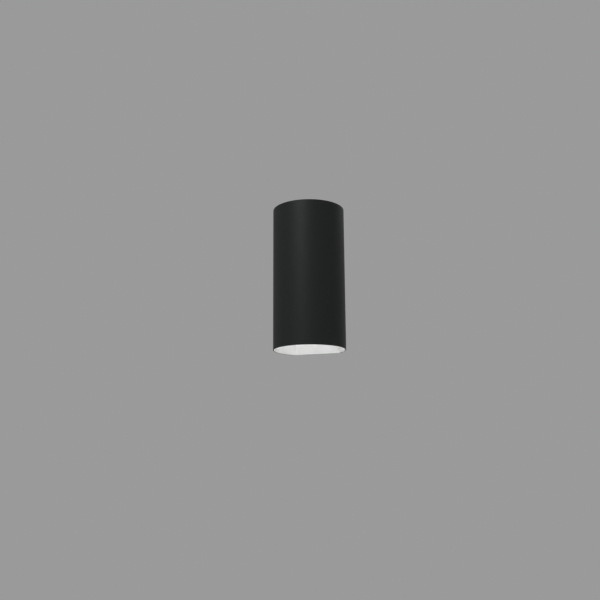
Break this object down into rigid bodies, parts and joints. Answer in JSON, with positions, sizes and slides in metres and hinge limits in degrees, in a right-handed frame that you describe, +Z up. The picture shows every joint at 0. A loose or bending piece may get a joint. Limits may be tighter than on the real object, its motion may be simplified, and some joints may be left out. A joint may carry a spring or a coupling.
{
  "type": "tube wall light",
  "caption": "Black D-section tube with its flat side to the wall, open at both ends, throwing light up and down from two capsule bulbs around a hidden wiring bay.",
  "frame": {"origin": "middle of the two wall-screw slots, on the bracket's wall-side face, half way up the tube", "axes": "+Z up along the tube, +Y into the wall, +X to the right of someone who faces the wall"},
  "size_m": [0.1, 0.093, 0.2],
  "materials": {
    "tube_paint": "fine-texture matt black powder coat outside, white inside",
    "carrier_paint": "smooth white powder coat",
    "zinc_plate": "bright zinc plate",
    "nickel": "nickel-plated brass",
    "rivet_metal": "plain aluminium",
    "black_rubber": "matt moulded rubber",
    "steatite": "unglazed pressed ceramic",
    "spring_bronze": "rolled bronze strip",
    "terminal_plastic": "translucent white nylon",
    "bare_brass": "turned brass",
    "lead_brown": "smooth brown insulation",
    "lead_blue": "smooth blue insulation",
    "lead_earth": "green insulation with a yellow stripe",
    "bulb_base": "fine white ceramic",
    "bulb_pins": "nickel-plated wire",
    "clear_glass": "clear glass",
    "filament": "yellow phosphor, lit",
    "stem_glass": "clear glass rod with bare wires"
  },
  "bodies": {
    "wall_plate": {"wall_bracket": "zinc_plate", "bracket_studs": "zinc_plate", "cable_grommet": "black_rubber"},
    "shade": {"shade_tube": "tube_paint", "lamp_carrier": "carrier_paint", "carrier_rivets": "rivet_metal", "holder_screws": "zinc_plate", "holder_nuts": "zinc_plate", "terminal_bracket": "zinc_plate", "terminal_bracket_rivets": "rivet_metal", "terminal_body": "terminal_plastic", "terminal_clamp_tubes": "bare_brass", "terminal_clamp_screws": "zinc_plate", "terminal_fixing_screws": "zinc_plate", "earth_stud": "zinc_plate", "earth_ring": "zinc_plate", "earth_washer": "zinc_plate", "earth_nut": "bare_brass", "upper_live_lead": "lead_brown", "lower_live_lead": "lead_brown", "upper_neutral_lead": "lead_blue", "lower_neutral_lead": "lead_blue", "earth_lead": "lead_earth", "upper_holder_body": "steatite", "upper_holder_contacts": "spring_bronze", "lower_holder_body": "steatite", "lower_holder_contacts": "spring_bronze"},
    "upper_nut": {"upper_cap_nut": "nickel", "upper_nut_washer": "nickel"},
    "upper_bulb": {"upper_bulb_base": "bulb_base", "upper_bulb_pins": "bulb_pins", "upper_bulb_glass": "clear_glass", "upper_bulb_filaments": "filament", "upper_bulb_stem": "stem_glass"},
    "lower_nut": {"lower_cap_nut": "nickel", "lower_nut_washer": "nickel"},
    "lower_bulb": {"lower_bulb_base": "bulb_base", "lower_bulb_pins": "bulb_pins", "lower_bulb_glass": "clear_glass", "lower_bulb_filaments": "filament", "lower_bulb_stem": "stem_glass"}
  },
  "joints": [
    {"name": "shade_slide", "type": "slide", "parent": "wall_plate", "child": "shade", "axis": [0, -1, 0], "range_m": [0, 0.03]},
    {"name": "upper_nut_turn", "type": "hinge", "parent": "shade", "child": "upper_nut", "pos_m": [0, -0.01, 0.065], "axis": [0, 1, 0], "continuous": true},
    {"name": "lower_nut_turn", "type": "hinge", "parent": "shade", "child": "lower_nut", "pos_m": [0, -0.01, -0.065], "axis": [0, 1, 0], "continuous": true},
    {"name": "upper_bulb_pull", "type": "slide", "parent": "shade", "child": "upper_bulb", "axis": [0, 0, 1], "range_m": [0, 0.09]},
    {"name": "lower_bulb_pull", "type": "slide", "parent": "shade", "child": "lower_bulb", "axis": [0, 0, -1], "range_m": [0, 0.09]}
  ]
}
